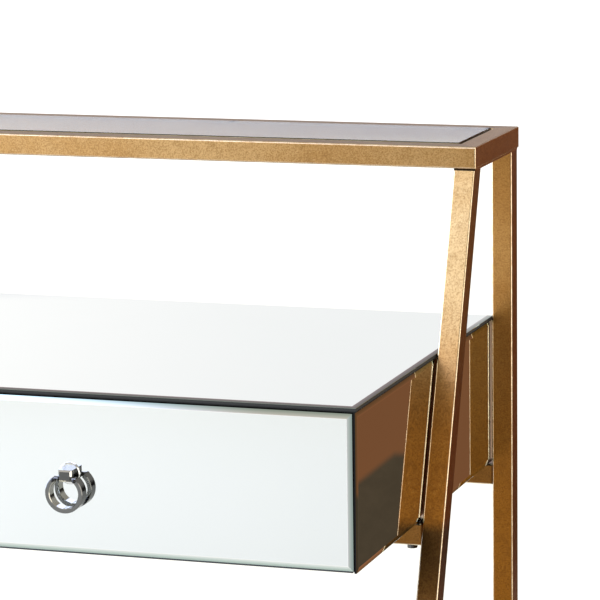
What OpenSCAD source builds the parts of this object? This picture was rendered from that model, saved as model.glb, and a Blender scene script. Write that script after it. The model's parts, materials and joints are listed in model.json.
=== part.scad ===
// Mirrored vanity console table.
// A gold steel frame with leaning front legs carries a long mirrored box with two drawers.
// A narrow glass shelf stands over the back of the box.
// Origin: on the floor, under the middle of the table. +X right, +Y back, +Z up.

/* [Overall] */
// Width across the shelf frame
shelf_w = 1164; // [1000:2:1400]
// Depth of the shelf frame from front to back
shelf_d = 169; // [150:1:200]
// Height from the floor to the top of the shelf glass
total_h = 930; // [900:5:960]
// How far the drawer fronts stand ahead of the shelf frame
box_reach = 322; // [300:1:335]

/* [Tube frame] */
// Outside of the square steel tube
tube = 22; // [18:1:22]
// Outer corner radius of the tube
tube_r = 2; // [1.6:0.1:3]
// Wall of the tube
tube_wall = 1.5; // [1:0.1:1.5]
// Lean of the front legs from the vertical, in degrees
leg_lean = 19.7; // [17:0.1:20]
// Distance of the legs from the shelf frame's ends and back
leg_inset = 1.5; // [1:0.5:3]
// Thickness of the flat bar that joins the leg tops
top_bar_t = 2; // [1.5:0.5:3]
// Height of the plastic foot glides under the legs
glide_h = 4; // [3:0.5:8]

/* [Shelf glass] */
// Thickness of the shelf glass
shelf_glass_t = 5; // [4:1:6]
// Height of the glass above the shelf frame's top
shelf_glass_proud = 0.8; // [0.8:0.1:2]
// Gap between the glass and the frame all round
shelf_glass_gap = 1.5; // [1:0.5:3]

/* [Mirrored box] */
// Width over the side mirrors
box_w = 1114; // [950:2:1114]
// Height from the underside to the top mirror
box_h = 155; // [140:1:180]
// Drop from the shelf frame's top to the top mirror
box_drop = 196; // [150:1:240]
// Distance from the box's back to the shelf frame's back
box_back_inset = 13; // [10:1:30]
// Thickness of the top mirror
top_mirror_t = 5; // [4:1:6]
// Thickness of the side mirrors
side_mirror_t = 3; // [3:1:4]
// Thickness of the drawer front mirrors
front_mirror_t = 4; // [3:1:5]
// Width of the bevel round each mirror
mirror_bevel = 5; // [4:0.5:10]
// Thickness of the carcass boards
board_t = 12; // [9:1:15]

/* [Drawers] */
// Thickness of the drawer front boards
front_board_t = 15; // [12:1:18]
// Depth of the drawer boxes
drawer_d = 400; // [300:10:410]
// Height of the drawer sides
drawer_side_h = 96; // [70:1:100]
// Width left for a runner on each side of a drawer
runner_gap = 12.75; // [12.7:0.05:13]

/* [Ring pulls] */
// Width of the post
post_w = 13.5; // [12:0.5:14]
// Height of the post
post_h = 11; // [10:0.5:14]
// Distance of the post's face from the mirror
post_reach = 14; // [13:0.5:16]
// Outer radius of the ring
ring_r = 18.7; // [17.5:0.1:22]
// Radial thickness of the ring's band
ring_band = 4.4; // [4:0.1:5]
// Width of the ring's band, front to back
ring_t = 11.5; // [8:0.5:12]
// Distance of the hinge pin's axis from the mirror
pivot_reach = 11.5; // [11:0.25:12]

/* [Hidden] */

round_fn = 48;
cut = 1;                                   // how far a cutting tool runs past a face

// Main levels and planes
finial_r = 2;
pull_reach = pivot_reach + ring_t / 2 + finial_r;
shelf_back_y = (shelf_d + box_reach + pull_reach) / 2;
shelf_front_y = shelf_back_y - shelf_d;
frame_top = total_h - shelf_glass_proud;
rail_under = frame_top - tube;
box_top = frame_top - box_drop;
box_under = box_top - box_h;
box_front_y = shelf_front_y - box_reach;
box_back_y = shelf_back_y - box_back_inset;

// Legs
leg_x = shelf_w / 2 - leg_inset - tube / 2;
leg_top = rail_under - top_bar_t;
rear_leg_y = shelf_back_y - leg_inset - tube / 2;
lean_tan = tan(leg_lean);
leg_cut_d = tube / cos(leg_lean);          // depth of a front leg on a level cut
front_leg_top_y = shelf_front_y + 2 + leg_cut_d / 2;
top_bar_front_inset = 2;

// Crossbars under the box
pad_t = 2;
end_plate_t = 0.7;
crossbar_top = box_under - pad_t;
crossbar_half = leg_x - tube / 2 - end_plate_t;
front_crossbar_y = front_leg_y(crossbar_top - tube / 2);
front_box_bolt_x = box_w / 2 - 11;
rear_box_bolt_x = box_w / 2 - 57;
rear_box_bolt_y = box_back_y - 24.5;

// Shelf glass and what it lies on
ledge_w = 8;
ledge_t = 2;
bumper_t = 1.5;
glass_arris = 0.7;
glass_under = total_h - shelf_glass_t;
ledge_top = glass_under - bumper_t;

// Bolts
bolt_d = 6;
bolt_hole_d = 6.4;
shelf_bolt_d = 4;
shelf_bolt_hole_d = 4.4;
washer_d = 12;
washer_t = 1.2;
shelf_bolt_ys = [shelf_front_y + 34, shelf_front_y + 140];

// Carcass
front_t = front_mirror_t + front_board_t;
front_gap = 0.5;                           // drawer front board to the carcass
back_t = 5;
carcass_front_y = box_front_y + front_t + front_gap;
carcass_back_y = box_back_y - back_t;
carcass_d = carcass_back_y - carcass_front_y;
carcass_half = box_w / 2 - side_mirror_t;
side_in_x = carcass_half - board_t;
divider_t = 15;
bay_low = box_under + board_t;
bay_high = box_top - top_mirror_t - board_t;
bay_mid_x = (side_in_x + divider_t / 2) / 2;
bay_w = side_in_x - divider_t / 2;

// Drawers
gap_beside_front = 0.8;
gap_between_fronts = 1.2;
gap_over_front = 1;
front_w = carcass_half - gap_beside_front - gap_between_fronts / 2;
front_mid_x = gap_between_fronts / 2 + front_w / 2;
front_high = box_top - top_mirror_t - gap_over_front;
lip_h = 1.2;
front_low = box_under + 0.3;
mirror_low = front_low + lip_h;
mirror_h = front_high - mirror_low;
front_bevel_drop = 1.2;
drawer_w = bay_w - 2 * runner_gap;
drawer_side_t = 12;
drawer_bottom_t = 5;
drawer_y = box_front_y + front_t;
drawer_low = bay_low + 14;
drawer_bottom_raise = 8;

// Ball-bearing runners
runner_wall = 1.2;
runner_len = drawer_d - 5;
runner_y = carcass_front_y + 2;
runner_z = drawer_low + drawer_side_h / 2;
outer_runner_h = 45;
middle_runner_h = 35;
inner_runner_h = 25;

// Ring pulls
pull_z = box_under + box_h / 2;
rosette_r = 10.5;
rosette_t = 2;
pin_d = 2.5;
pin_play = 0.05;
post_arris = 1.5;
pin_below_post = 3;                        // hinge pin below the middle of the post
ring_mid_r = ring_r - ring_band / 2;
ring_drop = ring_mid_r - 3.4;              // ring centre below the hinge pin
ring_open = 39.5;                          // half of the ring's opening, in degrees
knuckle_r = 2.4;
knuckle_in = post_w / 2 + 0.3;
pin_half = knuckle_in + 2.3;
knuckle_out = ring_mid_r * sin(ring_open) + 0.5;
finial_x = ring_mid_r * sin(ring_open) + 0.1;
finial_drop = ring_drop - ring_mid_r * cos(ring_open);
pull_screw_d = 4;

gold = [0.72, 0.53, 0.27];
silver_glass = [0.86, 0.9, 0.89];
clear_glass = [0.78, 0.78, 0.8, 0.5];
black_board = [0.09, 0.09, 0.09];
pale_board = [0.74, 0.62, 0.46];
zinc = [0.65, 0.66, 0.68];
chrome = [0.8, 0.8, 0.82];

// Middle of a front leg, front to back, at height z
function front_leg_y(z) = front_leg_top_y - (leg_top - z) * lean_tan;

// ---------- Shared shapes ----------

// Square with rounded corners, centred
module rounded_rect(w, d, r) {
    square([w - 2 * r, d], center = true);
    square([w, d - 2 * r], center = true);
    for (x = [-1, 1], y = [-1, 1])
        translate([x * (w / 2 - r), y * (d / 2 - r)]) circle(r = r, $fn = round_fn);
}

// Square steel tube standing on z = 0
module tube_z(len) {
    difference() {
        linear_extrude(len) rounded_rect(tube, tube, tube_r);
        translate([0, 0, -cut])
            linear_extrude(len + 2 * cut)
                square(tube - 2 * tube_wall, center = true);
    }
}

// Plate w by d on z = 0, with a bevel round its upper face
module bevelled_plate(w, d, t, bevel, drop) {
    intersection() {
        rotate([90, 0, 0]) linear_extrude(d, center = true) bevel_section(w, t, bevel, drop);
        rotate([90, 0, 90]) linear_extrude(w, center = true) bevel_section(d, t, bevel, drop);
    }
}

module bevel_section(w, t, bevel, drop) {
    polygon([
        [-w / 2, 0], [w / 2, 0], [w / 2, t - drop],
        [w / 2 - bevel, t], [-w / 2 + bevel, t], [-w / 2, t - drop]
    ]);
}

// Box from one corner to the opposite corner
module block(low, high) {
    translate(low) cube(high - low);
}

// Bolt with its washer's upper face on z = 0, shank up, head down
module cap_bolt(shank, head_d, head_h) {
    difference() {
        union() {
            cylinder(d = bolt_d, h = shank, $fn = round_fn);
            translate([0, 0, -washer_t]) cylinder(d = washer_d, h = washer_t, $fn = round_fn);
            translate([0, 0, -washer_t - head_h]) cylinder(d = head_d, h = head_h, $fn = round_fn);
        }
        translate([0, 0, -washer_t - head_h - cut])
            cylinder(d = head_d / 2, h = head_h * 0.6 + cut, $fn = 6);
    }
}

// Small bolt with a low head and a hexagon socket, its head under z = 0
module button_bolt(shank) {
    head_d = 7.6;
    head_h = 2.2;
    difference() {
        union() {
            cylinder(d = shelf_bolt_d, h = shank, $fn = round_fn);
            translate([0, 0, -head_h]) cylinder(d = head_d, h = head_h, $fn = round_fn);
        }
        translate([0, 0, -head_h - cut]) cylinder(d = 2.9, h = 1.3 + cut, $fn = 6);
    }
}

// ---------- Shelf ----------

// Outline of the whole shelf frame, with rounded corners
module shelf_outline() {
    translate([0, shelf_back_y - shelf_d / 2]) rounded_rect(shelf_w, shelf_d, tube_r);
}

// Long rail of the shelf frame, mitred at both ends; side -1 is the front, 1 the back
module long_rail(side) {
    edge_y = side < 0 ? shelf_front_y : shelf_back_y;
    color(gold)
    intersection() {
        translate([-shelf_w / 2 - cut, edge_y - side * tube / 2, frame_top - tube / 2])
            rotate([0, 90, 0]) tube_z(shelf_w + 2 * cut);
        translate([0, 0, rail_under]) linear_extrude(tube) intersection() {
            shelf_outline();
            polygon([
                [-shelf_w / 2, edge_y], [shelf_w / 2, edge_y],
                [shelf_w / 2 - tube, edge_y - side * tube],
                [-shelf_w / 2 + tube, edge_y - side * tube]
            ]);
        }
    }
}

// Short rail of the shelf frame, mitred, with two bolt holes in its underside
module short_rail(side) {
    edge_x = side * shelf_w / 2;
    in_x = edge_x - side * tube;
    color(gold)
    difference() {
        intersection() {
            translate([edge_x - side * tube / 2, shelf_front_y - cut, frame_top - tube / 2])
                rotate([-90, 0, 0]) tube_z(shelf_d + 2 * cut);
            translate([0, 0, rail_under]) linear_extrude(tube) intersection() {
                shelf_outline();
                polygon([
                    [edge_x, shelf_front_y], [edge_x, shelf_back_y],
                    [in_x, shelf_back_y - tube], [in_x, shelf_front_y + tube]
                ]);
            }
        }
        for (y = shelf_bolt_ys)
            translate([side * leg_x, y, rail_under - cut])
                cylinder(d = shelf_bolt_hole_d, h = tube_wall + 2 * cut, $fn = round_fn);
    }
}

// Four flat strips welded inside the frame, which carry the glass
module shelf_ledges() {
    half = shelf_w / 2 - tube;
    front = shelf_front_y + tube;
    back = shelf_back_y - tube;
    low = ledge_top - ledge_t;
    color(gold) {
        block([-half, front, low], [half, front + ledge_w, ledge_top]);
        block([-half, back - ledge_w, low], [half, back, ledge_top]);
        for (x = [-1, 1])
            translate([x * (half - ledge_w / 2), (front + back) / 2, ledge_top - ledge_t / 2])
                cube([ledge_w, back - front - 2 * ledge_w, ledge_t], center = true);
    }
}

// Clear bumpers between the ledges and the glass
module glass_bumpers() {
    edge = tube + ledge_w / 2 + 0.5;
    steps = 4;
    color(clear_glass)
    for (i = [0 : steps], y = [shelf_front_y + edge, shelf_back_y - edge])
        translate([(i / steps - 0.5) * (shelf_w - 2 * edge), y, ledge_top])
            cylinder(d = 6, h = bumper_t, $fn = round_fn);
}

module shelf_glass() {
    inset = tube + shelf_glass_gap;
    color(clear_glass)
    translate([0, shelf_back_y - shelf_d / 2, glass_under])
        bevelled_plate(
            shelf_w - 2 * inset, shelf_d - 2 * inset, shelf_glass_t, glass_arris, glass_arris);
}

// Flat bar welded across the tops of a front leg and a rear leg
module top_bar(side) {
    back = rear_leg_y + tube / 2;
    front = front_leg_top_y - leg_cut_d / 2 + top_bar_front_inset;
    color(gold)
    difference() {
        translate([side * leg_x - tube / 2, front, leg_top]) cube([tube, back - front, top_bar_t]);
        for (y = shelf_bolt_ys)
            translate([side * leg_x, y, leg_top - cut])
                cylinder(d = shelf_bolt_hole_d, h = top_bar_t + 2 * cut, $fn = round_fn);
    }
}

// ---------- Legs and crossbars ----------

module rear_leg(side) {
    color(gold)
    translate([side * leg_x, rear_leg_y, glide_h]) tube_z(leg_top - glide_h);
}

// Slanted tube cut off level at its top and foot
module front_leg(side) {
    reach = 60;                            // spare length beyond each level cut
    len = (leg_top - glide_h) / cos(leg_lean);
    color(gold)
    intersection() {
        translate([side * leg_x, front_leg_y(glide_h), glide_h])
            rotate([-leg_lean, 0, 0]) translate([0, 0, -reach]) tube_z(len + 2 * reach);
        translate([side * leg_x - tube, -total_h, glide_h])
            cube([2 * tube, 2 * total_h, leg_top - glide_h]);
    }
}

// Tube across the table under the box
module crossbar(y) {
    color(gold)
    translate([-crossbar_half, y, crossbar_top - tube / 2])
        rotate([0, 90, 0]) tube_z(2 * crossbar_half);
}

// The front tube is bored for the two front box bolts
module front_crossbar() {
    color(gold)
    difference() {
        crossbar(front_crossbar_y);
        for (x = [-1, 1])
            translate([x * front_box_bolt_x, front_crossbar_y, crossbar_top - tube - cut])
                cylinder(d = bolt_hole_d, h = tube + 2 * cut, $fn = round_fn);
    }
}

// Plates that close the crossbars and join them to the legs
module crossbar_end_plates() {
    size = tube - 3;
    color("dimgray")
    for (x = [-1, 1], y = [front_crossbar_y, rear_leg_y])
        translate([x * (crossbar_half + end_plate_t / 2), y, crossbar_top - tube / 2])
            cube([end_plate_t, size, size], center = true);
}

// Rubber pads between the front crossbar and the box, each with a bolt hole
module box_pads() {
    pad_len = 20;
    pad_w = 12;
    color("black")
    for (x = [-1, 1])
        translate([x * front_box_bolt_x, front_crossbar_y, crossbar_top]) difference() {
            translate([0, 0, pad_t / 2]) cube([pad_len, pad_w, pad_t], center = true);
            translate([0, 0, -cut]) cylinder(d = bolt_hole_d, h = pad_t + 2 * cut, $fn = round_fn);
        }
}

// Steel tabs welded on the rear crossbar, reaching forward under the box
module rear_box_tabs() {
    tab_w = 30;
    front = rear_box_bolt_y - 12;
    back = rear_leg_y + 5;
    color("dimgray")
    for (x = [-1, 1])
        translate([x * rear_box_bolt_x, 0, crossbar_top]) difference() {
            translate([-tab_w / 2, front, 0]) cube([tab_w, back - front, pad_t]);
            translate([0, rear_box_bolt_y, -cut])
                cylinder(d = bolt_hole_d, h = pad_t + 2 * cut, $fn = round_fn);
        }
}

// Plastic plugs in the leg ends
module foot_glides() {
    plug = tube - 2 * tube_wall - 0.2;
    plug_h = 12;
    color("black")
    for (x = [-1, 1]) {
        translate([x * leg_x, rear_leg_y, 0]) {
            linear_extrude(glide_h) rounded_rect(tube, tube, tube_r);
            translate([-plug / 2, -plug / 2, 0]) cube([plug, plug, glide_h + plug_h]);
        }
        translate([x * leg_x, front_leg_y(glide_h), 0]) {
            linear_extrude(glide_h) rounded_rect(tube, leg_cut_d, tube_r);
            intersection() {
                translate([0, 0, glide_h]) rotate([-leg_lean, 0, 0])
                    translate([-plug / 2, -plug / 2, -plug_h]) cube([plug, plug, 3 * plug_h]);
                translate([-tube, -tube, glide_h / 2]) cube([2 * tube, 2 * tube, plug_h]);
            }
        }
    }
}

// Bolts up through the flat bars into the shelf frame
module shelf_bolts() {
    color(zinc)
    for (x = [-1, 1], y = shelf_bolt_ys)
        translate([x * leg_x, y, leg_top]) button_bolt(top_bar_t + tube_wall + 8);
}

// Long bolts up through the front crossbar into the carcass
module front_box_bolts() {
    color(zinc)
    for (x = [-1, 1])
        translate([x * front_box_bolt_x, front_crossbar_y, crossbar_top - tube])
            cap_bolt(tube + pad_t + board_t, 10, 3.5);
}

// Short bolts up through the rear tabs into the carcass
module rear_box_bolts() {
    color(zinc)
    for (x = [-1, 1])
        translate([x * rear_box_bolt_x, rear_box_bolt_y, crossbar_top])
            cap_bolt(pad_t + board_t, 10, 3.5);
}

// ---------- Carcass and its mirrors ----------

module carcass_top() {
    color(black_board)
    block([-carcass_half, carcass_front_y, bay_high], [carcass_half, carcass_back_y, bay_high + board_t]);
}

// Bottom board with threaded holes for the box bolts
module carcass_bottom() {
    color(black_board)
    difference() {
        block([-carcass_half, carcass_front_y, box_under], [carcass_half, carcass_back_y, bay_low]);
        for (x = [-1, 1]) {
            translate([x * front_box_bolt_x, front_crossbar_y, box_under - cut])
                cylinder(d = bolt_d, h = board_t + 2 * cut, $fn = round_fn);
            translate([x * rear_box_bolt_x, rear_box_bolt_y, box_under - cut])
                cylinder(d = bolt_d, h = board_t + 2 * cut, $fn = round_fn);
        }
    }
}

module carcass_side(side) {
    color(black_board)
    translate([side > 0 ? side_in_x : -carcass_half, carcass_front_y, bay_low])
        cube([board_t, carcass_d, bay_high - bay_low]);
}

module centre_divider() {
    color(black_board)
    block([-divider_t / 2, carcass_front_y, bay_low], [divider_t / 2, carcass_back_y, bay_high]);
}

module carcass_back() {
    color(black_board)
    block([-carcass_half, carcass_back_y, box_under], [carcass_half, box_back_y, bay_high + board_t]);
}

module top_mirror() {
    color(silver_glass)
    translate([0, (box_front_y + box_back_y) / 2, box_top - top_mirror_t])
        bevelled_plate(box_w, box_back_y - box_front_y, top_mirror_t, mirror_bevel, 1);
}

module side_mirror(side) {
    h = box_h - top_mirror_t;
    color(silver_glass)
    translate([side * carcass_half, (box_front_y + box_back_y) / 2, box_under + h / 2])
        rotate([0, side * 90, 0])
            bevelled_plate(h, box_back_y - box_front_y, side_mirror_t, mirror_bevel, 0.8);
}

// ---------- Drawers ----------
// side -1 is the left drawer, 1 the right drawer

// Front board with a lip under the mirror and a hole for the pull's screw
module drawer_front(side) {
    lip_back = 0.8;                        // the lip stops just short of the mirror's face
    color(black_board)
    difference() {
        union() {
            translate([side * front_mid_x - front_w / 2, box_front_y + front_mirror_t, front_low])
                cube([front_w, front_board_t, front_high - front_low]);
            translate([side * front_mid_x - front_w / 2 + 1, box_front_y + lip_back, front_low])
                cube([front_w - 2, front_mirror_t, lip_h]);
        }
        pull_hole(side, pull_screw_d);
    }
}

module drawer_mirror(side) {
    color(silver_glass)
    difference() {
        translate([side * front_mid_x, box_front_y + front_mirror_t, mirror_low + mirror_h / 2])
            rotate([90, 0, 0])
                bevelled_plate(front_w, mirror_h, front_mirror_t, mirror_bevel, front_bevel_drop);
        pull_hole(side, pull_screw_d + 2);
    }
}

// Hole through the drawer front on the pull's axis
module pull_hole(side, d) {
    translate([side * front_mid_x, box_front_y - cut, pull_z])
        rotate([-90, 0, 0]) cylinder(d = d, h = front_t + 2 * cut, $fn = round_fn);
}

// Side board of a drawer; edge -1 is its left side, 1 its right side
module drawer_side(side, edge) {
    color(pale_board)
    translate([
        side * bay_mid_x + edge * (drawer_w / 2 - drawer_side_t / 2) - drawer_side_t / 2,
        drawer_y, drawer_low
    ]) cube([drawer_side_t, drawer_d, drawer_side_h]);
}

module drawer_back(side) {
    inner_w = drawer_w - 2 * drawer_side_t;
    color(pale_board)
    translate([side * bay_mid_x - inner_w / 2, drawer_y + drawer_d - drawer_side_t, drawer_low])
        cube([inner_w, drawer_side_t, drawer_side_h]);
}

module drawer_bottom(side) {
    inner_w = drawer_w - 2 * drawer_side_t;
    color(pale_board)
    translate([side * bay_mid_x - inner_w / 2, drawer_y, drawer_low + drawer_bottom_raise])
        cube([inner_w, drawer_d - drawer_side_t, drawer_bottom_t]);
}

// Channel h high; web from x0 to x0 + wall, flanges from x0 to x1
module channel(h, web_x, flange_low_x, flange_high_x) {
    block([web_x, 0, -h / 2], [web_x + runner_wall, runner_len, h / 2]);
    for (z = [-h / 2, h / 2 - runner_wall])
        block([flange_low_x, 0, z], [flange_high_x, runner_len, z + runner_wall]);
}

// Both runners of one drawer; each is placed from its carcass wall towards the drawer
module runner_pair(side) {
    color(zinc)
    for (wall = [-1, 1])
        translate([side * bay_mid_x + wall * bay_w / 2, runner_y, runner_z])
            mirror([wall > 0 ? 1 : 0, 0, 0]) children();
}

module outer_runners(side) {
    runner_pair(side) channel(outer_runner_h, 0, 0, 11);
}

module middle_runners(side) {
    runner_pair(side) channel(middle_runner_h, 2.4, 2.4, 10.6);
}

module inner_runners(side) {
    runner_pair(side) channel(inner_runner_h, runner_gap - runner_wall, 4.8, runner_gap);
}

// ---------- Ring pulls ----------

// Moves its child to the pull: the mirror's face is y = 0 and the pin's height is z = 0
module at_pull(side) {
    translate([side * front_mid_x, box_front_y, pull_z]) children();
}

// Round back plate with a turned edge
module pull_rosette(side) {
    color(chrome)
    at_pull(side) rotate([90, 0, 0]) difference() {
        rotate_extrude($fn = round_fn)
            polygon([[0, 0], [rosette_r, 0], [rosette_r, 1.2], [rosette_r - 0.8, rosette_t], [0, rosette_t]]);
        translate([0, 0, -cut]) cylinder(d = pull_screw_d + 0.4, h = rosette_t + 2 * cut, $fn = round_fn);
    }
}

// Square post, bored across for the pin and from behind for the screw
module pull_post(side) {
    screw_depth = 5.5;
    color(chrome)
    at_pull(side) difference() {
        translate([0, -rosette_t, 0]) rotate([90, 0, 0])
            bevelled_plate(post_w, post_h, post_reach - rosette_t, post_arris, post_arris);
        translate([-post_w, -pivot_reach, -pin_below_post]) rotate([0, 90, 0])
            cylinder(d = pin_d, h = 2 * post_w, $fn = round_fn);
        translate([0, -rosette_t - screw_depth, 0]) rotate([-90, 0, 0])
            cylinder(d = pull_screw_d, h = screw_depth + cut, $fn = round_fn);
    }
}

module pull_pin(side) {
    color(chrome)
    at_pull(side) translate([-pin_half, -pivot_reach, -pin_below_post]) rotate([0, 90, 0])
        cylinder(d = pin_d, h = 2 * pin_half, $fn = round_fn);
}

// Broad open ring with a knuckle and a small ball at each end
module pull_ring(side) {
    color(chrome)
    at_pull(side) translate([0, -pivot_reach, -pin_below_post]) {
        ring_band();
        for (x = [-1, 1]) {
            translate([x > 0 ? knuckle_in : -knuckle_out, 0, 0]) rotate([0, 90, 0]) difference() {
                cylinder(r = knuckle_r, h = knuckle_out - knuckle_in, $fn = round_fn);
                translate([0, 0, -cut])
                    cylinder(d = pin_d + 2 * pin_play, h = knuckle_out + cut, $fn = round_fn);
            }
            translate([x * finial_x, -ring_t / 2, -finial_drop])
                rotate([90, 0, 0]) sphere(r = finial_r, $fn = round_fn);
        }
    }
}

// The ring without its knuckles, open at the top, with its four edges broken
module ring_band() {
    edge = 0.6;
    inner = ring_r - ring_band;
    half = ring_t / 2;
    translate([0, 0, -ring_drop]) rotate([90, 0, 0]) rotate([0, 0, 90 + ring_open])
        rotate_extrude(angle = 360 - 2 * ring_open, $fn = 96)
            polygon([
                [inner, -half + edge], [inner + edge, -half],
                [ring_r - edge, -half], [ring_r, -half + edge],
                [ring_r, half - edge], [ring_r - edge, half],
                [inner + edge, half], [inner, half - edge]
            ]);
}

// Machine screw from inside the drawer into the post
module pull_screw(side) {
    head_h = 2.4;
    color(zinc)
    at_pull(side) {
        translate([0, -rosette_t - 5, 0]) rotate([-90, 0, 0])
            cylinder(d = pull_screw_d, h = 5 + rosette_t + front_t, $fn = round_fn);
        translate([0, front_t, 0]) rotate([-90, 0, 0]) difference() {
            cylinder(d = 9, h = head_h, $fn = round_fn);
            for (a = [0, 90])
                rotate([0, 0, a]) translate([-2.5, -0.5, head_h / 2]) cube([5, 1, head_h]);
        }
    }
}

// ---------- The nodes ----------

long_rail(-1);  // shelf_front_rail
long_rail(1);  // shelf_rear_rail
short_rail(-1);  // shelf_left_rail
short_rail(1);  // shelf_right_rail
shelf_ledges();
glass_bumpers();
shelf_glass();
top_bar(-1);  // left_top_bar
top_bar(1);  // right_top_bar
front_leg(-1);  // front_left_leg
front_leg(1);  // front_right_leg
rear_leg(-1);  // rear_left_leg
rear_leg(1);  // rear_right_leg
front_crossbar();
crossbar(rear_leg_y);  // rear_crossbar
crossbar_end_plates();
box_pads();
rear_box_tabs();
foot_glides();
shelf_bolts();
front_box_bolts();
rear_box_bolts();
carcass_top();
carcass_bottom();
carcass_side(-1);  // carcass_left_side
carcass_side(1);  // carcass_right_side
carcass_back();
centre_divider();
top_mirror();
side_mirror(-1);  // left_side_mirror
side_mirror(1);  // right_side_mirror
drawer_front(-1);  // left_drawer_front
drawer_front(1);  // right_drawer_front
drawer_mirror(-1);  // left_drawer_mirror
drawer_mirror(1);  // right_drawer_mirror
drawer_side(-1, -1);  // left_drawer_left_side
drawer_side(-1, 1);  // left_drawer_right_side
drawer_side(1, -1);  // right_drawer_left_side
drawer_side(1, 1);  // right_drawer_right_side
drawer_back(-1);  // left_drawer_back
drawer_back(1);  // right_drawer_back
drawer_bottom(-1);  // left_drawer_bottom
drawer_bottom(1);  // right_drawer_bottom
outer_runners(-1);  // left_outer_runners
outer_runners(1);  // right_outer_runners
middle_runners(-1);  // left_middle_runners
middle_runners(1);  // right_middle_runners
inner_runners(-1);  // left_inner_runners
inner_runners(1);  // right_inner_runners
pull_rosette(-1);  // left_pull_rosette
pull_rosette(1);  // right_pull_rosette
pull_post(-1);  // left_pull_post
pull_post(1);  // right_pull_post
pull_pin(-1);  // left_pull_pin
pull_pin(1);  // right_pull_pin
pull_ring(-1);  // left_pull_ring
pull_ring(1);  // right_pull_ring
pull_screw(-1);  // left_pull_screw
pull_screw(1);  // right_pull_screw
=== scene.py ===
# Looks of the mirrored vanity console table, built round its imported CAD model.
# Metres, in the CAD frame: +X right, +Y back, +Z up, the floor at z = 0.

import json
import math

import bmesh
import bpy
from mathutils import Matrix, Vector


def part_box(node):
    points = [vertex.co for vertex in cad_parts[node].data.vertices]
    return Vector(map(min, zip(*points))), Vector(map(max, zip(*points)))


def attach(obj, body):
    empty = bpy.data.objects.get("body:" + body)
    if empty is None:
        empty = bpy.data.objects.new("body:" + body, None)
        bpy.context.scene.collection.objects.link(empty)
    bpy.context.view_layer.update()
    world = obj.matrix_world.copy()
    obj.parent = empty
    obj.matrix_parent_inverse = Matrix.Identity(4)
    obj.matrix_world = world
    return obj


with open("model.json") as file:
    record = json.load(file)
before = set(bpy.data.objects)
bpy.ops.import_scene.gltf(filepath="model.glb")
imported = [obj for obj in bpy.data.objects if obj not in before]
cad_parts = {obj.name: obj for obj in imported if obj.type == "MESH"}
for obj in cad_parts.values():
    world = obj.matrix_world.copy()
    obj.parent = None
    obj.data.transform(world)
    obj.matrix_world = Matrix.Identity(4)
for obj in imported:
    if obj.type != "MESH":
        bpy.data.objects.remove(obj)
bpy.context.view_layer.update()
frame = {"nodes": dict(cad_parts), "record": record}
nodes = frame["nodes"]
slot_of = {s["node"]: s["material_slot"] for s in frame["record"]["subparts"]}

MM = 0.001

# Sizes the looks share with the CAD model
RAKE = math.radians(19.7)          # lean of the front legs
MIRROR_BEVEL = 5 * MM              # width of the bevel round each mirror
EDGE_BREAK = 0.35 * MM             # sawn and ground edges are broken by this much
BOX_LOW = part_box("right_side_mirror")[0].z
BOX_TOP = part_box("top_mirror")[1].z


# ---------- Helpers ----------

def scaled(color, factor):
    return tuple(c * factor for c in color)


def tinted(color, tint):
    return tuple(c * t for c, t in zip(color, tint))


def longest_axis(node):
    low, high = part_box(node)
    size = high - low
    return max(range(3), key=lambda i: size[i])


def add_object(name, mesh):
    obj = bpy.data.objects.new(name, mesh)
    bpy.context.scene.collection.objects.link(obj)
    return obj


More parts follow.
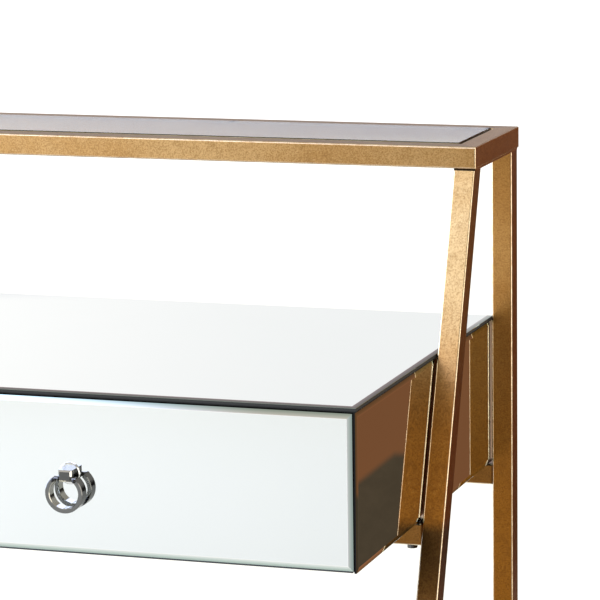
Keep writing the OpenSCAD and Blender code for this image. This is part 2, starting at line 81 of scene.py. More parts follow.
class Graph:
    """A material's node tree, with short calls to add and link nodes."""

    def __init__(self, name):
        self.material = bpy.data.materials.new(name)
        self.material.use_nodes = True
        self.tree = self.material.node_tree
        self.tree.nodes.clear()
        self.output = self.tree.nodes.new("ShaderNodeOutputMaterial")

    def add(self, kind, inputs, **settings):
        made = self.tree.nodes.new("ShaderNode" + kind)
        for key, value in settings.items():
            setattr(made, key, value)
        for key, value in inputs.items():
            self.put(made.inputs[key], value)
        return made

    def put(self, socket, value):
        if isinstance(value, bpy.types.NodeSocket):
            self.tree.links.new(value, socket)
        elif isinstance(value, tuple) and len(value) == 3 and socket.type == "RGBA":
            socket.default_value = (*value, 1.0)
        else:
            socket.default_value = value

    def math(self, operation, a, b=0.0, clamp=False):
        return self.add("Math", {0: a, 1: b}, operation=operation, use_clamp=clamp).outputs[0]

    def plus(self, a, b):
        return self.math("ADD", a, b)

    def minus(self, a, b, clamp=False):
        return self.math("SUBTRACT", a, b, clamp)

    def times(self, a, b):
        return self.math("MULTIPLY", a, b)

    def larger(self, a, b):
        return self.math("MAXIMUM", a, b)

    def smaller(self, a, b):
        return self.math("MINIMUM", a, b)

    def magnitude(self, a):
        return self.math("ABSOLUTE", a)

    def smooth(self, value, low, high):
        """0 below low, 1 above high, smooth between."""
        made = self.add(
            "MapRange", {"Value": value, "From Min": low, "From Max": high},
            interpolation_type="SMOOTHSTEP")
        return made.outputs["Result"]

    def fade_out(self, value, low, high):
        """1 below low, 0 above high, smooth between."""
        return self.minus(1.0, self.smooth(value, low, high))

    def between(self, value, low, high):
        """Spreads a 0 to 1 value over low to high."""
        made = self.add("MapRange", {"Value": value, "To Min": low, "To Max": high})
        return made.outputs["Result"]

    def mix(self, share, a, b):
        """Colour a where share is 0, b where it is 1."""
        made = self.add("Mix", {}, data_type="RGBA")
        self.put(made.inputs[0], share)
        self.put(made.inputs[6], a)
        self.put(made.inputs[7], b)
        return made.outputs[2]

    def noise(self, vector, scale, detail=3.0, roughness=0.55, distortion=0.0):
        made = self.add("TexNoise", {
            "Vector": vector, "Scale": scale, "Detail": detail,
            "Roughness": roughness, "Distortion": distortion})
        return made.outputs[0]

    def stretched(self, vector, scale):
        return self.add("Mapping", {"Vector": vector, "Scale": tuple(scale)}).outputs[0]

    def turned_about_x(self, vector, angle):
        made = self.add(
            "VectorRotate", {"Vector": vector, "Angle": angle}, rotation_type="X_AXIS")
        return made.outputs[0]

    def place(self):
        return self.add("TexCoord", {}).outputs["Object"]

    def normal(self):
        return self.add("TexCoord", {}).outputs["Normal"]

    def split(self, vector):
        return self.add("SeparateXYZ", {0: vector}).outputs[:3]

    def bump(self, height, strength, distance):
        inputs = {"Height": height, "Strength": strength, "Distance": distance}
        return self.add("Bump", inputs).outputs[0]

    def principled(self, **inputs):
        names = {
            "color": "Base Color", "metallic": "Metallic", "roughness": "Roughness",
            "normal": "Normal", "ior": "IOR", "coat": "Coat Weight",
            "coat_roughness": "Coat Roughness", "specular": "Specular IOR Level",
            "transmission": "Transmission Weight",
        }
        return self.add("BsdfPrincipled", {names[k]: v for k, v in inputs.items()}).outputs[0]

    def emission(self, color):
        return self.add("Emission", {"Color": color, "Strength": 1.0}).outputs[0]

    def finish(self, surface):
        self.put(self.output.inputs["Surface"], surface)
        return self.material


# ---------- Antique gold ----------

GOLD_DARK = (0.20, 0.092, 0.022)
GOLD_MID = (0.41, 0.215, 0.062)
GOLD_PALE = (0.50, 0.295, 0.105)
# Pale of the edges, partly rubbed-through wear and partly painted highlight
GOLD_RUB_AND_HIGHLIGHT = (0.92, 0.78, 0.55)
# Darker tones of the gold lower down: painted shade round and under the box
SHADED_GOLD_DARK = (0.12, 0.040, 0.003)
SHADED_GOLD_MID = (0.20, 0.070, 0.005)
SHADED_GOLD_PALE = (0.26, 0.105, 0.014)
GOLD_SHADED_END = (0.020, 0.011, 0.005)


def upper_gold(g, specks, grains, patina, cloud, tint):
    """Tone of the gold film high up on the table, with tint as painted light and shade."""
    dark, mid, pale = (tinted(color, tint) for color in (GOLD_DARK, GOLD_MID, GOLD_PALE))
    tone = g.mix(g.smooth(cloud, 0.30, 0.72), mid, pale)
    tone = g.mix(g.times(g.smooth(patina, 0.48, 0.80), 0.45), tone, dark)
    tone = g.mix(g.times(specks, 0.62), tone, dark)
    return g.mix(g.times(grains, 0.72), tone, pale)


def shaded_lower_gold(g, specks, grains, patina, glow):
    """Deeper tone lower down: the film's specks and grains under painted shade, made lighter by glow
    as painted light.
    """
    dark, mid, pale = (scaled(color, glow) for color in (SHADED_GOLD_DARK, SHADED_GOLD_MID, SHADED_GOLD_PALE))
    tone = g.mix(specks, mid, dark)
    tone = g.mix(g.times(grains, 0.6), tone, pale)
    return g.mix(g.times(g.smooth(patina, 0.46, 0.62), 0.4), tone, dark)


def light_on_raked_leg(g, height):
    """Painted light and shade on a raked leg's low tone: lighter beside the box as painted light,
    browner under it as painted shade.
    """
    beside = g.between(g.smooth(height, BOX_LOW + 22 * MM, BOX_TOP - 13 * MM), 2.1, 1.3)
    under = g.between(g.smooth(height, BOX_LOW - 78 * MM, BOX_LOW - 18 * MM), 0.85, 0.42)
    share = g.smooth(height, BOX_LOW - 12 * MM, BOX_LOW + 4 * MM)
    return g.plus(under, g.times(share, g.minus(beside, under)))


def antique_gold(name, along, rake=0.0, glow=1.0, tint=(1.0, 1.0, 1.0), dark_front=False):
    """Brushed and speckled antique gold. along is the tube's axis, 0 to 2; rake leans it about X.
    tint is painted light and shade on the upper part, glow is painted light on the lower part's
    painted shade, and dark_front is painted shade on the end towards -Y."""
    g = Graph(name)
    place = g.place()
    normal = g.normal()
    height = g.split(place)[2]
    facing_y = g.split(normal)[1]
    if rake:
        place = g.turned_about_x(place, rake)
        normal = g.turned_about_x(normal, rake)
    nx, ny, nz = (g.magnitude(n) for n in g.split(normal))
    edge = g.fade_out(g.larger(g.larger(nx, ny), nz), 0.86, 0.995)

    brush_scale = [260.0, 260.0, 260.0]
    brush_scale[along] = 9.0
    brushed = g.noise(g.stretched(place, brush_scale), 3.0, 4.0, 0.6)
    speckle = g.noise(place, 700.0, 4.0, 0.8)
    grit = g.noise(place, 380.0, 4.0, 0.75)
    cloud = g.noise(place, 9.0, 4.0, 0.6, 0.4)
    patina = g.noise(place, 60.0, 5.0, 0.65, 0.8)

    specks = g.smooth(speckle, 0.44, 0.60)
    grains = g.smooth(grit, 0.54, 0.68)
    high_tone = upper_gold(g, specks, grains, patina, cloud, tint)
    shaded_low_tone = shaded_lower_gold(g, specks, grains, patina, glow)
    # Painted shade: the gold takes the darker low tone from above the box's top downwards
    turn_low = BOX_LOW - 78 * MM
    turn_high = BOX_TOP + 67 * MM
    if rake:
        turn_low = BOX_TOP - 73 * MM
        # Painted light beside the box and painted shade under it, on the raked legs
        light = light_on_raked_leg(g, height)
        shaded_low_tone = g.add("VectorMath", {0: shaded_low_tone, 1: light}, operation="MULTIPLY").outputs[0]
    shade_share = g.between(g.smooth(height, turn_low, turn_high), 0.9, 0.0)
    tone = g.mix(shade_share, high_tone, shaded_low_tone)
    # Pale edges: partly rubbed-through wear, partly painted highlight on the rounded edges
    rub_and_highlight = g.times(edge, g.between(g.smooth(patina, 0.35, 0.6), 0.5, 0.9))
    tone = g.mix(rub_and_highlight, tone, GOLD_RUB_AND_HIGHLIGHT)
    if dark_front:
        tone = g.mix(g.smooth(g.times(facing_y, -1.0), 0.4, 0.8), tone, GOLD_SHADED_END)

    rough = g.plus(g.between(brushed, 0.20, 0.36), g.times(speckle, 0.10))
    rough = g.minus(rough, g.times(edge, 0.10), clamp=True)
    relief = g.plus(g.times(speckle, 0.7), g.times(brushed, 0.5))
    relief = g.plus(relief, grit)
    return g.finish(g.principled(
        color=tone, metallic=1.0, roughness=rough, normal=g.bump(relief, 0.30, 0.12 * MM),
        coat=0.1, coat_roughness=0.2))


# ---------- Mirror and glass ----------

# Grey levels through a mirror's edge, as (share of the thickness from its back, level)
MIRROR_EDGE_LEVELS = (
    (0.0, 0.006), (0.16, 0.010), (0.30, 0.036), (0.62, 0.048), (0.80, 0.016), (1.0, 0.010))


def distance_from_edges(g, places, node, axis):
    """Distance to the nearest edge of a plate that faces along axis."""
    low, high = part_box(node)
    reach = []
    for i in range(3):
        if i != axis:
            middle = (low[i] + high[i]) / 2
            half = (high[i] - low[i]) / 2
            reach.append(g.minus(half, g.magnitude(g.minus(places[i], middle))))
    return g.smaller(reach[0], reach[1])


def mirror_face(g, from_edge):
    """Silver behind glass, greener on the bevel, with painted highlight on the bevel's inner part and
    on the line where the bevel starts.
    """
    place = g.place()
    haze = g.noise(place, 5.0, 5.0, 0.6, 0.6)
    silver = g.mix(haze, (0.83, 0.85, 0.845), (0.86, 0.875, 0.87))
    # The bevel is green-grey at its outer edge and paler towards its start; the pale is painted
    # highlight
    bevel_tone = g.mix(
        g.smooth(from_edge, 0.1 * MIRROR_BEVEL, 0.9 * MIRROR_BEVEL),
        (0.50, 0.61, 0.57), (0.84, 0.90, 0.875))
    bevel = g.fade_out(from_edge, MIRROR_BEVEL - 0.4 * MM, MIRROR_BEVEL)
    # Painted highlight on the line where the bevel starts
    from_arris = g.magnitude(g.minus(from_edge, MIRROR_BEVEL - 0.2 * MM))
    arris_highlight = g.fade_out(from_arris, 0.35 * MM, 0.75 * MM)
    tint = g.mix(bevel, silver, bevel_tone)
    tint = g.mix(arris_highlight, tint, (0.985, 0.99, 0.985))

    smear = g.noise(g.stretched(place, (22.0, 60.0, 60.0)), 1.0, 4.0, 0.7, 1.2)
    dust = g.smooth(g.noise(place, 950.0, 2.0, 0.5), 0.76, 0.84)
    rough = g.plus(g.between(g.smooth(smear, 0.45, 0.8), 0.008, 0.035), g.times(dust, 0.12))
    wave = g.noise(place, 3.0, 1.0, 0.4)
    return g.principled(
        color=tint, metallic=1.0, roughness=rough, normal=g.bump(wave, 0.02, 0.4 * MM))


def mirror_edge(g, depth, shade):
    """Ground edge of a mirror, nearly black; shade darkens it further as painted shade. depth runs
    from 0 at its back to 1 at its face.
    """
    ramp = g.add("ValToRGB", {0: depth})
    points = ramp.color_ramp.elements
    for spot, (where, level) in enumerate(MIRROR_EDGE_LEVELS):
        point = points[spot] if spot < 2 else points.new(where)
        point.position = where
        point.color = (*scaled((0.98, 1.0, 0.96), level * shade), 1.0)
    ground = g.noise(g.place(), 700.0, 3.0, 0.7)
    color = g.mix(g.times(ground, 0.22 * shade), ramp.outputs[0], (0.11, 0.115, 0.11))
    return g.principled(
        color=color, roughness=g.between(ground, 0.10, 0.28),
        normal=g.bump(ground, 0.15, 0.05 * MM), ior=1.52, specular=0.02)


def mirror(name, node, axis, sign):
    """Silvered glass. axis is the one its face looks along, sign which way it looks."""
    g = Graph(name)
    places = g.split(g.place())
    low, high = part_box(node)
    back = low[axis] if sign > 0 else high[axis]
    depth = g.times(g.minus(places[axis], back), sign / (high[axis] - low[axis]))
    facing = g.times(g.split(g.normal())[axis], float(sign))
    # Painted shade: the edges of the side and drawer mirrors are painted darker than the top mirror's
    # edge
    shade = 1.0 if node == "top_mirror" else 0.3
    both = g.add("MixShader", {
        0: g.math("GREATER_THAN", facing, 0.6),
        1: mirror_edge(g, depth, shade),
        2: mirror_face(g, distance_from_edges(g, places, node, axis))})
    return g.finish(both.outputs[0])


def clear_glass(name, edge_color, haze_scale):
    """Clear sheet that lies level, with edge_color on its sides and faint smears and dust."""
    g = Graph(name)
    place = g.place()
    side = g.fade_out(g.magnitude(g.split(g.normal())[2]), 0.30, 0.60)
    smear = g.noise(g.stretched(place, (haze_scale, haze_scale * 5, 1.0)), 1.0, 5.0, 0.65, 0.8)
    dust = g.smooth(g.noise(place, 800.0, 2.0, 0.5), 0.72, 0.82)
    tint = g.mix(side, (0.965, 0.985, 0.98), edge_color)
    rough = g.plus(g.between(g.smooth(smear, 0.45, 0.8), 0.0, 0.03), g.times(dust, 0.15))
    wave = g.noise(place, 5.0, 2.0, 0.4)
    return g.finish(g.principled(
        color=tint, roughness=rough, transmission=1.0, ior=1.52,
        normal=g.bump(wave, 0.02, 0.3 * MM)))


# ---------- Plated metal ----------

def polished_metal(name, color, shade, rough_low, rough_high, scratch_axis=0):
    """Plated metal with fine polishing lines and a few handling marks."""
    g = Graph(name)
    place = g.place()
    scale = [900.0, 900.0, 900.0]
    scale[scratch_axis] = 60.0
    lines = g.noise(g.stretched(place, scale), 1.0, 4.0, 0.7)
    marks = g.noise(place, 170.0, 4.0, 0.6, 0.7)
    tone = g.mix(g.smooth(marks, 0.4, 0.75), color, shade)
    rough = g.plus(
        g.between(lines, rough_low, rough_high), g.times(g.smooth(marks, 0.6, 0.8), 0.08))
    return g.finish(g.principled(
        color=tone, metallic=1.0, roughness=rough, normal=g.bump(lines, 0.10, 0.03 * MM)))


def pull_lines(g):
    """Fine polishing lines, their roughness and relief, shared by the pull's materials."""
    lines = g.noise(g.stretched(g.place(), (60.0, 900.0, 900.0)), 1.0, 4.0, 0.7)
    return lines, g.between(lines, 0.06, 0.14), g.bump(lines, 0.10, 0.03 * MM)


def ring_nickel(name, node):
    """Dark nickel, paler on the inside of the ring with painted highlight, and darkest on its two
    balls with painted shade.
    """
    ball_reach = 2 * MM                # the balls stand this far in front of the band
    g = Graph(name)
    low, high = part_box(node)
    radius = (high.x - low.x) / 2
    x, y, z = g.split(g.place())
    nx, _, nz = g.split(g.normal())
    from_x = g.minus(x, (low.x + high.x) / 2)
    from_z = g.minus(z, low.z + radius)
    inward = g.times(g.plus(g.times(from_x, nx), g.times(from_z, nz)), -1.0)
    # Painted highlight: the inside of the ring is paler
    inside = g.smooth(inward, 0.3 * radius, 0.6 * radius)
    lines, rough, relief = pull_lines(g)
    dark = g.mix(lines, (0.15, 0.15, 0.147), (0.185, 0.185, 0.18))
    pale = g.mix(lines, (0.40, 0.39, 0.35), (0.52, 0.51, 0.46))
    # Painted shade: the two balls in front of the band are near black
    on_band = g.smooth(g.minus(y, low.y), 0.75 * ball_reach, 0.98 * ball_reach)
    tone = g.mix(on_band, (0.045, 0.045, 0.045), g.mix(inside, dark, pale))
    return g.finish(g.principled(color=tone, metallic=1.0, roughness=rough, normal=relief))


def post_nickel(name):
    """Dark nickel, with painted highlight on its top and its chamfers."""
    g = Graph(name)
    nx, ny, nz = g.split(g.normal())
    flat = g.larger(g.magnitude(nx), g.larger(g.magnitude(ny), nz))
    # Painted highlight on the chamfers and the top
    chamfer = g.fade_out(flat, 0.80, 0.95)
    bright = g.larger(chamfer, g.smooth(nz, 0.6, 0.9))
    lines, rough, relief = pull_lines(g)
    dark = g.mix(lines, (0.085, 0.085, 0.083), (0.135, 0.135, 0.13))
    pale = g.mix(lines, (0.50, 0.50, 0.49), (0.66, 0.66, 0.65))
    return g.finish(g.principled(
        color=g.mix(bright, dark, pale), metallic=1.0, roughness=rough, normal=relief))


def zinc_plate(name):
    """Bright zinc plate with rolling lines and a faint blue and yellow passivation."""
    g = Graph(name)
    place = g.place()
    lines = g.noise(g.stretched(place, (700.0, 14.0, 700.0)), 1.0, 4.0, 0.7)
    tide = g.noise(place, 28.0, 4.0, 0.6, 1.0)
    spangle = g.add("TexVoronoi", {"Vector": place, "Scale": 130.0}).outputs["Color"]
    film = g.mix(g.smooth(tide, 0.35, 0.65), (0.60, 0.63, 0.68), (0.68, 0.66, 0.58))
    tone = g.mix(g.times(g.split(spangle)[0], 0.22), film, (0.42, 0.44, 0.47))
    return g.finish(g.principled(
        color=tone, metallic=1.0, roughness=g.between(lines, 0.24, 0.42),
        normal=g.bump(lines, 0.15, 0.05 * MM)))


# ---------- Board, wood and plastic ----------

def sprayed_board(name):
    """Fibreboard sprayed satin black, with orange peel and a little dust."""
    g = Graph(name)
    place = g.place()
    peel = g.noise(place, 520.0, 2.0, 0.5)
    cloud = g.noise(place, 14.0, 4.0, 0.6)
    fibre = g.noise(place, 2200.0, 2.0, 0.7)
    dust = g.smooth(g.noise(place, 1300.0, 2.0, 0.6), 0.70, 0.80)
    tone = g.mix(cloud, (0.011, 0.010, 0.010), (0.026, 0.023, 0.021))
    tone = g.mix(g.times(dust, 0.5), tone, (0.12, 0.11, 0.10))
    relief = g.plus(peel, g.times(fibre, 0.3))
    return g.finish(g.principled(
        color=tone, roughness=g.between(cloud, 0.38, 0.55),
        normal=g.bump(relief, 0.25, 0.12 * MM)))


def along_grain(g, place, along, across_scale, along_scale):
    """Place stretched so that marks on it run along one axis."""
    scale = [across_scale] * 3
    scale[along] = along_scale
    return g.stretched(place, scale)


def pale_wood(name, along):
    """Clear-lacquered pale wood. along is the axis of its grain."""
    g = Graph(name)
    place = g.place()
    drawn = along_grain(g, place, along, 1.0, 0.06)
    bend = g.noise(drawn, 9.0, 3.0, 0.5, 0.5)
    rings = g.add("TexWave", {
        "Vector": drawn, "Scale": 22.0, "Distortion": 7.0, "Detail": 3.0,
        "Detail Scale": 1.2}, wave_type="RINGS", rings_direction="XYZ"[along]).outputs[1]
    fibre = g.noise(along_grain(g, place, along, 520.0, 14.0), 1.0, 3.0, 0.65)
    pores = g.noise(along_grain(g, place, along, 1500.0, 90.0), 1.0, 1.0, 0.5)
    pores = g.smooth(pores, 0.66, 0.76)
    tone = g.mix(g.times(rings, bend), (0.66, 0.47, 0.28), (0.48, 0.30, 0.155))
    tone = g.mix(g.times(fibre, 0.5), tone, (0.74, 0.57, 0.37))
    tone = g.mix(g.times(pores, 0.6), tone, (0.26, 0.15, 0.07))
    return g.finish(g.principled(
        color=tone, roughness=g.between(fibre, 0.34, 0.5),
        normal=g.bump(g.minus(fibre, pores), 0.18, 0.08 * MM), coat=0.15, coat_roughness=0.3))


def moulded(name, dark, light, roughness, grain):
    """Moulded plastic or rubber with a fine spark-eroded grain."""
    g = Graph(name)
    place = g.place()
    skin = g.noise(place, grain, 3.0, 0.6)
    cloud = g.noise(place, 35.0, 4.0, 0.6)
    scuff = g.noise(g.stretched(place, (90.0, 90.0, 600.0)), 1.0, 3.0, 0.6)
    scuff = g.smooth(scuff, 0.62, 0.75)
    tone = g.mix(cloud, dark, light)
    tone = g.mix(g.times(scuff, 0.3), tone, scaled(light, 2.2))
    return g.finish(g.principled(
        color=tone, roughness=g.between(skin, roughness - 0.08, roughness + 0.1),
        normal=g.bump(skin, 0.3, 0.06 * MM)))


# ---------- Materials on the CAD nodes ----------

# Lit and shaded copies of the one gold, by the way a tube runs: their tints and glows are painted
# light and shade
SIDEWAYS_PAINTED_LIGHT = (1.35, 1.4, 1.5)
gold_along = {
    0: antique_gold("antique_gold_x", 0, glow=1.1),
    1: antique_gold("antique_gold_y", 1, tint=SIDEWAYS_PAINTED_LIGHT),
    2: antique_gold("antique_gold_z", 2, glow=1.6, tint=(0.92, 0.78, 0.54)),
}
gold_bar = antique_gold("antique_gold_bar", 1, tint=SIDEWAYS_PAINTED_LIGHT, dark_front=True)
# The raked legs' tint is painted highlight, paler and less golden
gold_raked = antique_gold("antique_gold_raked", 2, RAKE, tint=(1.0, 1.15, 1.35))
wood_along = {i: pale_wood("drawer_wood_" + "xyz"[i], i) for i in range(2)}
zinc = zinc_plate("zinc_plate")
ball_steel = polished_metal("ball_steel", (0.66, 0.66, 0.67), (0.52, 0.52, 0.53), 0.05, 0.12)
bolt_steel = polished_metal("bolt_steel", (0.13, 0.125, 0.12), (0.09, 0.085, 0.08), 0.16, 0.30, 2)

OF_ENDING = {
    "_rosette": polished_metal(
        "rosette_chrome", (0.72, 0.72, 0.71), (0.58, 0.58, 0.57), 0.06, 0.14),
    "_pull_post": post_nickel("post_nickel"),
    "_top_bar": gold_bar,
    "_bolts": bolt_steel,
}
OF_SLOT = {
    "shelf_glass": clear_glass("shelf_glass", (0.68, 0.76, 0.73), 6.0),
    "clear_bumper": clear_glass("clear_bumper", (0.85, 0.88, 0.88), 60.0),
    "black_board": sprayed_board("black_board"),
    "zinc_steel": zinc,
    "pull_chrome": polished_metal(
        "pull_nickel", (0.15, 0.15, 0.147), (0.115, 0.115, 0.112), 0.06, 0.14),
    "pad_rubber": moulded("pad_rubber", (0.016, 0.016, 0.017), (0.03, 0.03, 0.03), 0.75, 900.0),
    "glide_plastic": moulded(
        "glide_plastic", (0.022, 0.022, 0.023), (0.045, 0.044, 0.043), 0.5, 1400.0),
}
FLAT_SIDED_SLOTS = ("black_board", "drawer_board", "pad_rubber", "mirror_glass")

# Each mirror's axis and the way its face looks along it
MIRROR_FACES = {
    "top_mirror": (2, 1), "left_side_mirror": (0, -1), "right_side_mirror": (0, 1),
    "left_drawer_mirror": (1, -1), "right_drawer_mirror": (1, -1),
}


def material_for(node):
    for ending, material in OF_ENDING.items():
        if node.endswith(ending):
            return material
    if node.endswith("_pull_ring"):
        return ring_nickel(node + "_nickel", node)
    slot = slot_of[node]
    if slot == "gold_frame":
        raked = node.startswith("front_") and node.endswith("_leg")
        return gold_raked if raked else gold_along[longest_axis(node)]
    if slot == "mirror_glass":
        return mirror(node + "_silver", node, *MIRROR_FACES[node])
    if slot == "drawer_board":
        return wood_along[min(longest_axis(node), 1)]
    return OF_SLOT[slot]


def break_edges(obj):
    """Rounds the sharp edges of a flat-sided piece a little."""
    mesh = obj.data
    stored = mesh.attributes.get("custom_normal")
    if stored:
        mesh.attributes.remove(stored)
    for face in mesh.polygons:
        face.use_smooth = False
    weld = obj.modifiers.new("weld", "WELD")
    weld.merge_threshold = 0.002 * MM
    bevel = obj.modifiers.new("edge_break", "BEVEL")
    bevel.width = EDGE_BREAK
    bevel.segments = 2
    bevel.limit_method = "ANGLE"
    bevel.angle_limit = math.radians(40)


def dress(node, obj):
    """Gives a CAD node its material, and broken edges if its sides are flat."""
    obj.data.materials.clear()
    obj.data.materials.append(material_for(node))
    if slot_of[node] in FLAT_SIDED_SLOTS:
        break_edges(obj)


# ---------- Small pieces that are too many for nodes ----------

def add_block(shape, middle, size):
    place = Matrix.Translation(middle) @ Matrix.Diagonal((*size, 1.0))
    bmesh.ops.create_cube(shape, size=1.0, matrix=place)


def small_piece(name, shape, material, body):
    """Turns a built shape into a steel piece that rides on one body."""
    mesh = bpy.data.meshes.new(name)
    shape.to_mesh(mesh)
    shape.free()
    mesh.materials.append(material)
    obj = add_object(name, mesh)
    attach(obj, body)


def build_balls(side):
    """Steel balls in ladder cages, between the channels of both runners of one drawer."""
    ball_r = 1.6 * MM
    balls = 12
    cage_len = 200 * MM
    cage_t = 0.5 * MM
    rail_w = 0.9 * MM
    rail_mid = 2.6 * MM                # a cage's long rails, from its middle line
    rung_len = 4.4 * MM
    rung_w = 2.4 * MM
    outer_row = 19.4 * MM              # rows of balls, above and below the runner's middle
    inner_row = 14.4 * MM
    from_end = 10 * MM
    into_channel = 4.1 * MM

    body = side + "_middle_runners"
    low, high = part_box(body)
    middle_z = (low.z + high.z) / 2
    step = cage_len / balls
    # The outer rows stay at the back and the inner rows in front, so both stay between channels
    rows = [(rise, high.y - cage_len - from_end) for rise in (-outer_row, outer_row)]
    rows += [(rise, low.y + from_end) for rise in (-inner_row, inner_row)]
    spheres = bmesh.new()
    cages = bmesh.new()
    for x in (low.x + into_channel, high.x - into_channel):
        for rise, start in rows:
            z = middle_z + rise
            for i in range(balls):
                place = Matrix.Translation((x, start + (i + 0.5) * step, z))
                bmesh.ops.create_icosphere(spheres, subdivisions=2, radius=ball_r, matrix=place)
            for i in range(balls + 1):
                add_block(cages, (x, start + i * step, z), (rung_len, rung_w, cage_t))
            for edge in (-rail_mid, rail_mid):
                middle = (x + edge, start + cage_len / 2, z)
                add_block(cages, middle, (rail_w, cage_len + rung_w, cage_t))
    for face in spheres.faces:
        face.smooth = True
    small_piece(side + "_runner_balls", spheres, ball_steel, body)
    small_piece(side + "_runner_cages", cages, zinc, body)


def add_pan_head(shape, x, y, z, radius):
    """Domed screw head that looks towards +Y, with a recess of four lobes."""
    # Rings as (width, height), in shares of the radius
    dome = ((1.0, 0.0), (1.0, 0.16), (0.86, 0.34), (0.55, 0.46))
    recess = ((0.42, 0.47), (0.30, 0.24))
    recess_floor = 0.20
    lobes = 4
    lobe_reach = 0.45
    spokes = 24

    rings = []
    for across, out in dome + recess:
        ring = []
        for s in range(spokes):
            turn = 2 * math.pi * s / spokes
            reach = radius * across
            if (across, out) in recess:
                reach *= 1.0 + lobe_reach * math.cos(lobes * turn)
            ring.append(shape.verts.new((
                x + reach * math.cos(turn), y + radius * out, z + reach * math.sin(turn))))
        rings.append(ring)
    tip = shape.verts.new((x, y + radius * recess_floor, z))
    for ring, following in zip(rings, rings[1:]):
        for s in range(spokes):
            t = (s + 1) % spokes
            shape.faces.new((ring[s], ring[t], following[t], following[s]))
    for s in range(spokes):
        shape.faces.new((rings[-1][s], rings[-1][(s + 1) % spokes], tip))


def build_back_screws():
    """Screws round the edge of the carcass back."""
    low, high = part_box("carcass_back")
    inset = 7 * MM
    head_r = 3.4 * MM
    columns = 8
    gap = (high.x - low.x - 2 * inset) / (columns - 1)
    shape = bmesh.new()
    for c in range(columns):
        for z in (low.z + inset, high.z - inset):
            add_pan_head(shape, low.x + inset + c * gap, high.y, z, head_r)
    for x in (low.x + inset, high.x - inset):
        add_pan_head(shape, x, high.y, (low.z + high.z) / 2, head_r)
    bmesh.ops.recalc_face_normals(shape, faces=shape.faces)
    small_piece("back_screws", shape, bolt_steel, "table")


# ---------- Studio ----------

def upright(start, end, low, high):
    """Corners of a panel that stands on the line from start to end, each an (x, y)."""
    return [(*start, low), (*end, low), (*end, high), (*start, high)]


def level(start, end, height):
    """Corners of a level panel between two opposite corners, each an (x, y)."""
    (x1, y1), (x2, y2) = start, end
    return [(x1, y1, height), (x2, y1, height), (x2, y2, height), (x1, y2, height)]


def staged(name, points, faces):
    """An object of the studio, not of the table."""
    mesh = bpy.data.meshes.new(name)
    mesh.from_pydata(points, [], faces)
    obj = add_object(name, mesh)
    return obj


def only_in_reflections(obj):
    obj.visible_camera = False
    obj.visible_diffuse = False
    obj.visible_transmission = False
    obj.visible_volume_scatter = False
    obj.visible_shadow = False


def build_floor():
    """Pale floor, lifted a little by its own light on the left and behind."""
    far = 150.0
    floor = staged("floor", level((-far, -far), (far, far), 0.0), [(0, 1, 2, 3)])
    g = Graph("floor_paint")
    place = g.place()
    x, y, _ = g.split(place)
    grain = g.noise(place, 300.0, 3.0, 0.6)
    away = g.larger(g.magnitude(x), g.magnitude(y))
    near_tone = g.mix(grain, (0.78, 0.77, 0.67), (0.81, 0.80, 0.70))
    paint = g.principled(
        color=g.mix(g.smooth(away, 4.5, 9.0), near_tone, (0.85, 0.85, 0.84)),
        roughness=0.9, specular=0.1, normal=g.bump(grain, 0.05, 0.2 * MM))
    left = g.smooth(g.times(x, -1.0), 0.0, 1.2)
    behind = g.smooth(y, -0.9, 1.2)
    strength = g.plus(g.between(left, 0.0, 0.13), g.times(behind, 0.4))
    lift = g.add("Emission", {"Color": (1.0, 1.0, 1.0), "Strength": strength})
    both = g.add("AddShader", {0: paint, 1: lift.outputs[0]})
    floor.data.materials.append(g.finish(both.outputs[0]))


def room_paint():
    """Tones of the room by direction: pale to the left and low behind, darker high up and right."""
    g = Graph("room_paint")
    way = g.add("VectorMath", {0: g.place()}, operation="NORMALIZE").outputs[0]
    x, y, z = g.split(way)
    leftward = g.times(x, -1.0)

    far_left = g.smooth(leftward, 0.18, 0.50)
    rear_low = g.mix(far_left, (0.55, 0.57, 0.66), (0.76, 0.78, 0.86))
    rear_mid = g.mix(far_left, (0.97, 0.98, 0.98), (1.16, 1.15, 1.14))
    rear = g.mix(g.smooth(z, 0.276, 0.288), rear_low, rear_mid)
    rear = g.mix(g.smooth(z, 0.34, 0.40), rear, (0.30, 0.245, 0.25))

    left = g.smooth(leftward, 0.22, 0.46)
    front_low = g.mix(left, (0.55, 0.51, 0.45), (3.5, 4.1, 5.6))
    front = g.mix(g.smooth(z, 0.5, 0.8), front_low, (0.55, 0.5, 0.46))

    front_right = g.mix(g.smooth(z, 0.10, 0.30), (0.035, 0.033, 0.032), (0.62, 0.60, 0.57))
    right = g.mix(g.smooth(y, -0.35, -0.05), front_right, (0.20, 0.085, 0.036))

    wall = g.mix(g.smooth(y, -0.1, 0.3), front, rear)
    wall = g.mix(g.smooth(x, 0.10, 0.40), wall, right)
    wall = g.mix(g.smooth(z, 0.80, 0.90), wall, (0.75, 0.71, 0.65))
    return g.finish(g.emission(wall))


def build_room():
    """Dome seen only in reflections."""
    radius = 6.0
    rings = 24
    spokes = 48
    lowest = -4                        # degrees above the floor
    highest = 90
    points = []
    faces = []
    for r in range(rings + 1):
        rise = math.radians(lowest + (highest - lowest) * r / rings)
        for s in range(spokes):
            turn = 2 * math.pi * s / spokes
            points.append((
                radius * math.cos(rise) * math.cos(turn), radius * math.cos(rise) * math.sin(turn),
                radius * math.sin(rise)))
    for r in range(rings):
        here = r * spokes
        above = here + spokes
        for s in range(spokes):
            t = (s + 1) % spokes
            faces.append((here + s, here + t, above + t, above + s))
    dome = staged("room", points, faces)
    only_in_reflections(dome)
    dome.data.materials.append(room_paint())


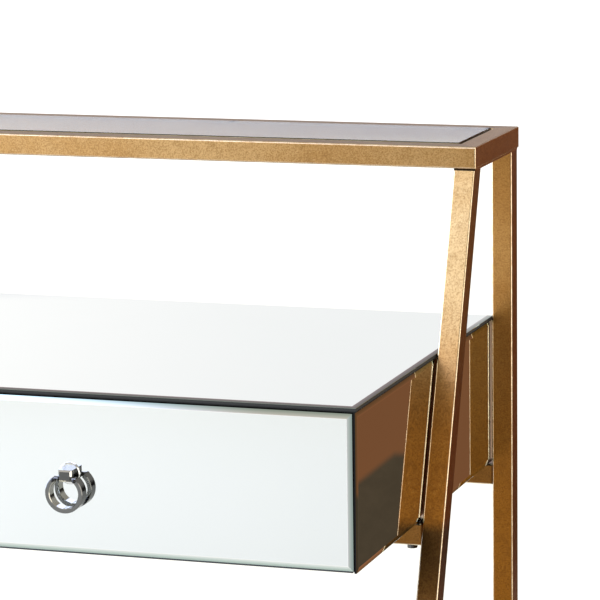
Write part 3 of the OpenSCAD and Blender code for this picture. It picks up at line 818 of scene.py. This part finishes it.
def side_card_paint():
    """Red-brown, with a dark olive shape low down whose top edge falls to the right."""
    shape_left = 1.0
    edge_at_zero = 1.147
    edge_slope = 0.83
    edge_lowest = 0.16
    edge_highest = 0.245
    g = Graph("side_card_paint")
    place = g.place()
    x, _, z = g.split(place)
    brown = g.mix(g.noise(place, 1.6, 3.0, 0.5), (0.155, 0.066, 0.028), (0.235, 0.095, 0.038))
    olive = g.mix(g.noise(place, 14.0, 5.0, 0.75), (0.044, 0.034, 0.021), (0.100, 0.072, 0.044))
    edge = g.minus(edge_at_zero, g.times(x, edge_slope))
    edge = g.smaller(g.larger(edge, edge_lowest), edge_highest)
    softness = g.between(g.smooth(x, shape_left, shape_left + 0.08), 0.035, 0.008)
    below = g.smooth(g.math("DIVIDE", g.minus(edge, z), softness), -1.0, 1.0)
    inside = g.times(below, g.smooth(x, shape_left, shape_left + 0.02))
    return g.finish(g.emission(g.mix(inside, brown, olive)))


def glowing_paint(name, color):
    g = Graph(name)
    cloud = g.noise(g.place(), 2.0, 2.0, 0.5)
    return g.finish(g.emission(g.mix(cloud, color, scaled(color, 1.15))))


def reflected_card(name, corners, paint):
    """Glowing panel, seen only in reflections."""
    card = staged(name, corners, [(0, 1, 2, 3)])
    only_in_reflections(card)
    card.data.materials.append(paint)


def build_cards():
    """Panels that give the right side, the edges and the bevels something to reflect."""
    reflected_card(
        "side_card", upright((0.74, 1.76), (4.2, 0.56), -0.2, 3.0), side_card_paint())
    reflected_card(
        "edge_light", upright((2.3, -1.5), (3.0, -0.6), -0.2, 2.6),
        glowing_paint("edge_light_paint", (2.6, 2.45, 2.2)))
    reflected_card(
        "front_right_floor", level((0.15, -5.0), (3.5, -1.2), 0.01),
        glowing_paint("front_right_floor_paint", (0.52, 0.53, 0.52)))
    reflected_card(
        "rear_right_floor", level((0.75, 0.3), (4.2, 1.7), 0.01),
        glowing_paint("rear_right_floor_paint", (0.26, 0.105, 0.045)))
    reflected_card(
        "rear_bevel_dark", upright((0.2, 1.9), (0.74, 1.9), 0.0, 0.6),
        glowing_paint("rear_bevel_dark_paint", (0.045, 0.028, 0.018)))


def build_lights():
    """Even white world and one soft box, high in front on the left."""
    world = bpy.data.worlds.new("studio")
    world.use_nodes = True
    background = world.node_tree.nodes["Background"]
    background.inputs["Color"].default_value = (1.0, 1.0, 1.0, 1.0)
    background.inputs["Strength"].default_value = 0.92
    bpy.context.scene.world = world

    place = Vector((-0.9, -3.1, 2.75))
    target = Vector((0.3, 0.0, 0.8))
    data = bpy.data.lights.new("softbox", "AREA")
    data.shape = "RECTANGLE"
    data.size = 3.2
    data.size_y = 2.2
    data.energy = 46.0
    data.color = (0.90, 1.03, 1.55)
    softbox = add_object("softbox", data)
    softbox.location = place
    softbox.rotation_euler = (target - place).to_track_quat("-Z", "Y").to_euler()
    softbox.visible_camera = False


def build_camera():
    """The picture's view of the table's right end."""
    front_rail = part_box("shelf_front_rail")
    shelf_corner = Vector((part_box("shelf_right_rail")[1].x, front_rail[0].y, front_rail[1].z))
    from_corner = Vector((0.841, -3.0731, 0.4199))
    right = Vector((0.94931, 0.31406, -0.0136))
    up = Vector((-0.04267, 0.1716, 0.98424))
    data = bpy.data.cameras.new("camera")
    data.sensor_width = 36.0
    data.lens = 196.0
    data.clip_end = 500.0
    camera = add_object("camera", data)
    turn = Matrix((right, up, right.cross(up))).transposed().to_4x4()
    camera.matrix_world = Matrix.Translation(shelf_corner + from_corner) @ turn
    bpy.context.scene.camera = camera


# ---------- The whole scene ----------

for node, obj in nodes.items():
    dress(node, obj)
for side in ("left", "right"):
    build_balls(side)
build_back_screws()
build_floor()
build_room()
build_cards()
build_lights()
build_camera()
bpy.context.scene.view_settings.view_transform = "Standard"
bpy.context.scene.view_settings.look = "None"
